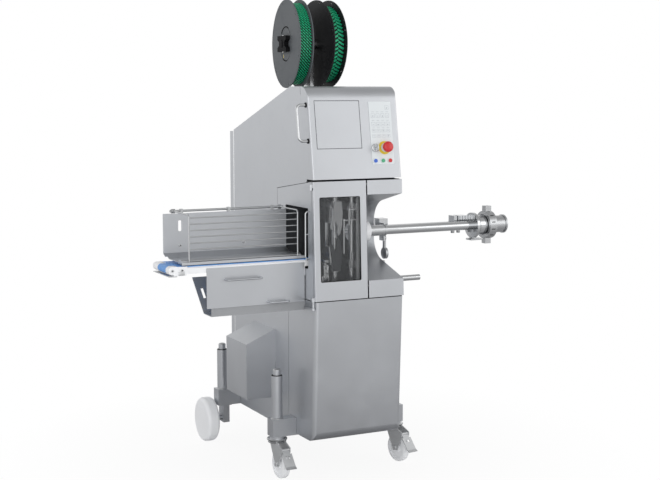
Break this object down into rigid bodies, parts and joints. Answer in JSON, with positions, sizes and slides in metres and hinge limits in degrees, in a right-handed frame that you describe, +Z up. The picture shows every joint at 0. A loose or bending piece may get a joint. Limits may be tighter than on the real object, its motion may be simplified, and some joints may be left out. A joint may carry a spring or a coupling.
{
  "type": "sausage clipper",
  "caption": "Free-standing automatic clipper for sausage: stainless housing on casters with filling tube, clip door, control hood, clip spools and guarded discharge belt",
  "frame": {"origin": "centre of the footprint box, on the floor", "axes": "+X along the product path to the filling tube's inlet, +Y to the rear, +Z up"},
  "size_m": [1.655, 0.9996, 2.06],
  "materials": {
    "stainless": "glass-bead blasted stainless sheet",
    "bright_steel": "polished stainless bar and tube",
    "dark_steel": "plain inner steel",
    "drive_paint": "grey painted casting",
    "nylon": "white nylon",
    "belt": "blue modular belt",
    "spool": "dark moulded spool",
    "clips": "green coated clip strand",
    "window": "clear polycarbonate",
    "keypad": "white membrane keypad",
    "collar": "yellow collar",
    "stop_red": "red mushroom head",
    "blue_cap": "blue push button",
    "green_cap": "green push button",
    "red_cap": "red push button"
  },
  "bodies": {
    "machine": {"base_frame": "stainless", "leg_columns": "stainless", "side_panel_left": "stainless", "side_panel_right": "stainless", "cheek_left": "stainless", "throat_housing": "stainless", "chamber_walls": "dark_steel", "lower_front_cover": "stainless", "motor_cover": "stainless", "rear_cover": "stainless", "top_cover": "stainless", "hinge_brackets": "bright_steel", "spool_post": "bright_steel", "clip_rails": "bright_steel", "guide_columns": "bright_steel", "guide_rod": "bright_steel", "filling_tube": "bright_steel", "inlet_stub": "bright_steel", "docking_rod": "bright_steel", "conveyor_bed": "nylon", "conveyor_belt": "belt", "guide_tray": "stainless", "guard_rod": "bright_steel", "flank_loop": "bright_steel", "trough_panel": "stainless", "trough_tray": "stainless", "drive_unit": "drive_paint"},
    "clip_door": {"clip_door": "stainless", "window_pane": "window"},
    "control_door": {"control_door": "stainless", "keypad": "keypad", "pull_handle": "bright_steel", "switch_collars": "collar"},
    "estop": {"estop_head": "stop_red"},
    "key": {"key_switch": "bright_steel"},
    "blue_button": {"button_blue": "blue_cap"},
    "green_button": {"button_green": "green_cap"},
    "red_button": {"button_red": "red_cap"},
    "left_fork": {"caster_fork_left": "bright_steel"},
    "right_fork": {"caster_fork_right": "bright_steel"},
    "left_caster": {"caster_wheel_left": "nylon"},
    "right_caster": {"caster_wheel_right": "nylon"},
    "left_brake": {"caster_brake_left": "bright_steel"},
    "right_brake": {"caster_brake_right": "bright_steel"},
    "left_wheel": {"rear_wheel_left": "nylon"},
    "right_wheel": {"rear_wheel_right": "nylon"},
    "guard": {"wire_guard": "bright_steel"},
    "drive": {"drive_roller": "bright_steel"},
    "nose": {"nose_roller": "nylon"},
    "left_spool": {"spool_left": "spool", "winding_left": "clips"},
    "right_spool": {"spool_right": "spool", "winding_right": "clips"},
    "brake": {"casing_brake": "nylon"},
    "lever": {"brake_lever": "bright_steel"},
    "nut": {"union_nut": "bright_steel"},
    "ram_up": {"upper_ram": "bright_steel"},
    "ram_down": {"lower_ram": "bright_steel"},
    "displacer_up": {"upper_displacer": "bright_steel"},
    "displacer_down": {"lower_displacer": "bright_steel"}
  },
  "joints": [
    {"name": "clip_door_swing", "type": "hinge", "parent": "machine", "child": "clip_door", "pos_m": [-0.2335, -0.47672, 1.03537], "axis": [0, -0.046, -0.9989], "range_deg": [0, 110]},
    {"name": "control_door_swing", "type": "hinge", "parent": "machine", "child": "control_door", "pos_m": [0.2025, -0.38108, 1.47371], "axis": [0, 0.1595, 0.9872], "range_deg": [0, 105]},
    {"name": "estop_press", "type": "slide", "parent": "control_door", "child": "estop", "axis": [0, 0.9872, -0.1595], "range_m": [0, 0.006], "stiffness_N_per_m": 400},
    {"name": "key_turn", "type": "hinge", "parent": "control_door", "child": "key", "pos_m": [0.0755, -0.45183, 1.41829], "axis": [0, -0.9872, 0.1595], "range_deg": [0, 90]},
    {"name": "blue_press", "type": "slide", "parent": "control_door", "child": "blue_button", "axis": [0, 0.9872, -0.1595], "range_m": [0, 0.002], "stiffness_N_per_m": 200},
    {"name": "green_press", "type": "slide", "parent": "control_door", "child": "green_button", "axis": [0, 0.9872, -0.1595], "range_m": [0, 0.002], "stiffness_N_per_m": 200},
    {"name": "red_press", "type": "slide", "parent": "control_door", "child": "red_button", "axis": [0, 0.9872, -0.1595], "range_m": [0, 0.002], "stiffness_N_per_m": 200},
    {"name": "left_swivel", "type": "hinge", "parent": "machine", "child": "left_fork", "pos_m": [-0.3035, -0.2732, 0.17], "axis": [0, 0, 1], "continuous": true},
    {"name": "left_caster_roll", "type": "hinge", "parent": "left_fork", "child": "left_caster", "pos_m": [-0.30217, -0.31117, 0.0625], "axis": [0.9994, 0.0349, 0], "continuous": true},
    {"name": "left_brake_press", "type": "hinge", "parent": "left_fork", "child": "left_brake", "pos_m": [-0.30078, -0.35115, 0.132], "axis": [0.9994, 0.0349, 0], "range_deg": [0, 12]},
    {"name": "right_swivel", "type": "hinge", "parent": "machine", "child": "right_fork", "pos_m": [0.2725, -0.2732, 0.17], "axis": [0, 0, 1], "continuous": true},
    {"name": "right_caster_roll", "type": "hinge", "parent": "right_fork", "child": "right_caster", "pos_m": [0.2791, -0.31062, 0.0625], "axis": [0.9848, 0.1736, 0], "continuous": true},
    {"name": "right_brake_press", "type": "hinge", "parent": "right_fork", "child": "right_brake", "pos_m": [0.28604, -0.35001, 0.132], "axis": [0.9848, 0.1736, 0], "range_deg": [0, 12]},
    {"name": "left_wheel_roll", "type": "hinge", "parent": "machine", "child": "left_wheel", "pos_m": [-0.3685, 0.3958, 0.104], "axis": [1, 0, 0], "continuous": true},
    {"name": "right_wheel_roll", "type": "hinge", "parent": "machine", "child": "right_wheel", "pos_m": [0.3375, 0.3958, 0.104], "axis": [1, 0, 0], "continuous": true},
    {"name": "guard_lift", "type": "hinge", "parent": "machine", "child": "guard", "pos_m": [-0.4965, -0.1997, 1.163], "axis": [-1, 0, 0], "range_deg": [0, 100]},
    {"name": "drive_roll", "type": "hinge", "parent": "machine", "child": "drive", "pos_m": [-0.1955, -0.2962, 0.941], "axis": [0, 1, 0], "continuous": true},
    {"name": "nose_roll", "type": "hinge", "parent": "machine", "child": "nose", "pos_m": [-0.8115, -0.2962, 0.941], "axis": [0, 1, 0], "continuous": true},
    {"name": "left_spool_turn", "type": "hinge", "parent": "machine", "child": "left_spool", "pos_m": [-0.0195, 0.0088, 1.865], "axis": [-0.9945, 0.1045, 0], "continuous": true},
    {"name": "right_spool_turn", "type": "hinge", "parent": "machine", "child": "right_spool", "pos_m": [-0.0035, 0.0088, 1.865], "axis": [1, 0, 0], "continuous": true},
    {"name": "brake_slide", "type": "slide", "parent": "machine", "child": "brake", "axis": [1, 0, 0], "range_m": [0, 0.28]},
    {"name": "lever_swing", "type": "hinge", "parent": "brake", "child": "lever", "pos_m": [0.2105, -0.2962, 1.014], "axis": [1, 0, 0], "range_deg": [-45, 45]},
    {"name": "nut_turn", "type": "hinge", "parent": "machine", "child": "nut", "pos_m": [0.7375, -0.3062, 1.05], "axis": [1, 0, 0], "continuous": true},
    {"name": "upper_ram_stroke", "type": "slide", "parent": "machine", "child": "ram_up", "axis": [0, 0, -1], "range_m": [0, 0.05]},
    {"name": "lower_ram_stroke", "type": "slide", "parent": "machine", "child": "ram_down", "axis": [0, 0, 1], "range_m": [0, 0.05]},
    {"name": "upper_displacer_stroke", "type": "slide", "parent": "machine", "child": "displacer_up", "axis": [0, 0, -1], "range_m": [0, 0.04]},
    {"name": "lower_displacer_stroke", "type": "slide", "parent": "machine", "child": "displacer_down", "axis": [0, 0, 1], "range_m": [0, 0.04]}
  ],
  "couplings": [
    {"joint": "nose_roll", "follows": "drive_roll", "ratio": 1},
    {"joint": "lower_ram_stroke", "follows": "upper_ram_stroke", "ratio": 1},
    {"joint": "upper_displacer_stroke", "follows": "upper_ram_stroke", "ratio": 0.8},
    {"joint": "lower_displacer_stroke", "follows": "upper_ram_stroke", "ratio": 0.8}
  ]
}
